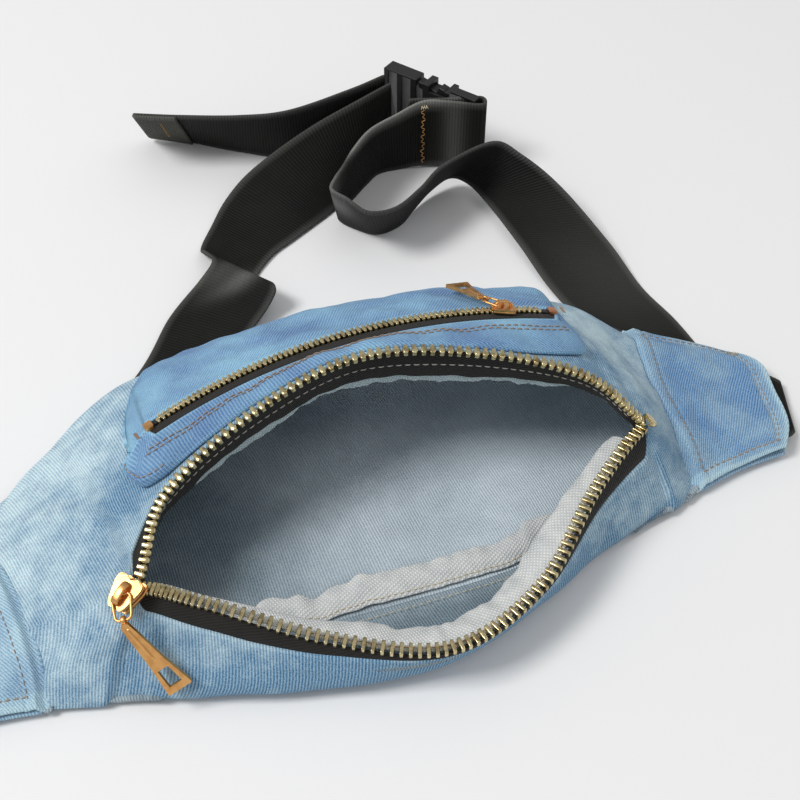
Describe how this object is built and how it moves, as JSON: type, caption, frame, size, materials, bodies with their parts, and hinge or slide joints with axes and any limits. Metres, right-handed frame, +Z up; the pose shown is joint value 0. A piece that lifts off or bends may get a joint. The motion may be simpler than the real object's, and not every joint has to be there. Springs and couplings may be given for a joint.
{
  "type": "waist pack",
  "caption": "Light blue denim waist pack lying open on its back, with a front pocket, brass zips and a black webbing belt with a side-release buckle.",
  "frame": {"origin": "on the table under the middle of the bag without its belt, where the back panel rests", "axes": "+X along the bag to its right end, +Y from the zip mouth to the bag's bottom seam, +Z up from the table, away from the wearer's body when worn"},
  "size_m": [0.3595, 0.3237, 0.0657],
  "materials": {
    "denim": "matte washed twill",
    "denim_deep": "matte twill",
    "ribbon": "matte gauze ribbon",
    "tape": "matte woven tape",
    "webbing": "satin ribbed webbing",
    "plastic": "satin moulded",
    "brass": "pale polished",
    "gold": "gold-plated, polished",
    "thread": "matte"
  },
  "bodies": {
    "bag": {"front_panel": "denim", "near_panel": "denim", "back_panel": "denim", "main_teeth_far": "brass", "main_teeth_near": "brass", "main_tape_far": "tape", "main_tape_near": "tape", "lip_binding": "ribbon", "seam_binding": "ribbon", "main_top_stop": "brass", "main_slider": "gold", "pocket_tape_lower": "tape", "pocket_tape_upper": "tape", "pocket_teeth_lower": "brass", "pocket_teeth_upper": "brass", "pocket_bottom_stop": "gold", "pocket_top_stop": "gold", "pocket_lower": "denim_deep", "pocket_upper": "denim_deep", "pocket_end_left": "denim_deep", "pocket_end_right": "denim_deep", "wing_front_right": "denim", "wing_back_right": "denim", "wing_front_left": "denim", "wing_back_left": "denim", "belt_right": "webbing", "belt_left": "webbing", "belt_tail": "webbing", "belt_hem": "webbing", "belt_bartack": "thread", "buckle_male": "plastic", "buckle_female": "plastic"},
    "main_link": {"main_link": "gold"},
    "main_puller": {"main_puller": "gold"},
    "pocket_slider": {"pocket_slider": "gold"},
    "pocket_link": {"pocket_link": "gold"},
    "pocket_puller": {"pocket_puller": "gold"},
    "prong_upper": {"buckle_prong_upper": "plastic"},
    "prong_lower": {"buckle_prong_lower": "plastic"}
  },
  "joints": [
    {"name": "main_link_swing", "type": "hinge", "parent": "bag", "child": "main_link", "pos_m": [-0.08635, -0.03054, 0.03563], "axis": [0.9371, -0.2559, 0.2375], "range_deg": [-60, 0]},
    {"name": "main_puller_swing", "type": "hinge", "parent": "main_link", "child": "main_puller", "pos_m": [-0.08765, -0.03803, 0.0327], "axis": [0.8625, -0.0373, 0.5046], "range_deg": [-90, 0]},
    {"name": "pocket_zip_travel", "type": "hinge", "parent": "bag", "child": "pocket_slider", "pos_m": [0.00894, -0.15845, -0.07888], "axis": [-0.0458, -0.5913, 0.8051], "range_deg": [-2.2, 30]},
    {"name": "pocket_link_swing", "type": "hinge", "parent": "pocket_slider", "child": "pocket_link", "pos_m": [0.06535, 0.02162, 0.05864], "axis": [-0.7527, -0.566, 0.3363], "range_deg": [-60, 0]},
    {"name": "pocket_puller_swing", "type": "hinge", "parent": "pocket_link", "child": "pocket_puller", "pos_m": [0.06125, 0.02683, 0.05822], "axis": [-0.9829, 0.0119, 0.1837], "range_deg": [-80, 0]},
    {"name": "prong_upper_press", "type": "hinge", "parent": "bag", "child": "prong_upper", "pos_m": [0.10467, 0.19131, 0.0352], "axis": [0.8351, 0.5501, 0], "range_deg": [0, 7.5], "stiffness_Nm_per_rad": 0.3},
    {"name": "prong_lower_press", "type": "hinge", "parent": "bag", "child": "prong_lower", "pos_m": [0.10467, 0.19131, 0.0036], "axis": [-0.8351, -0.5501, 0], "range_deg": [0, 7.5], "stiffness_Nm_per_rad": 0.3}
  ]
}
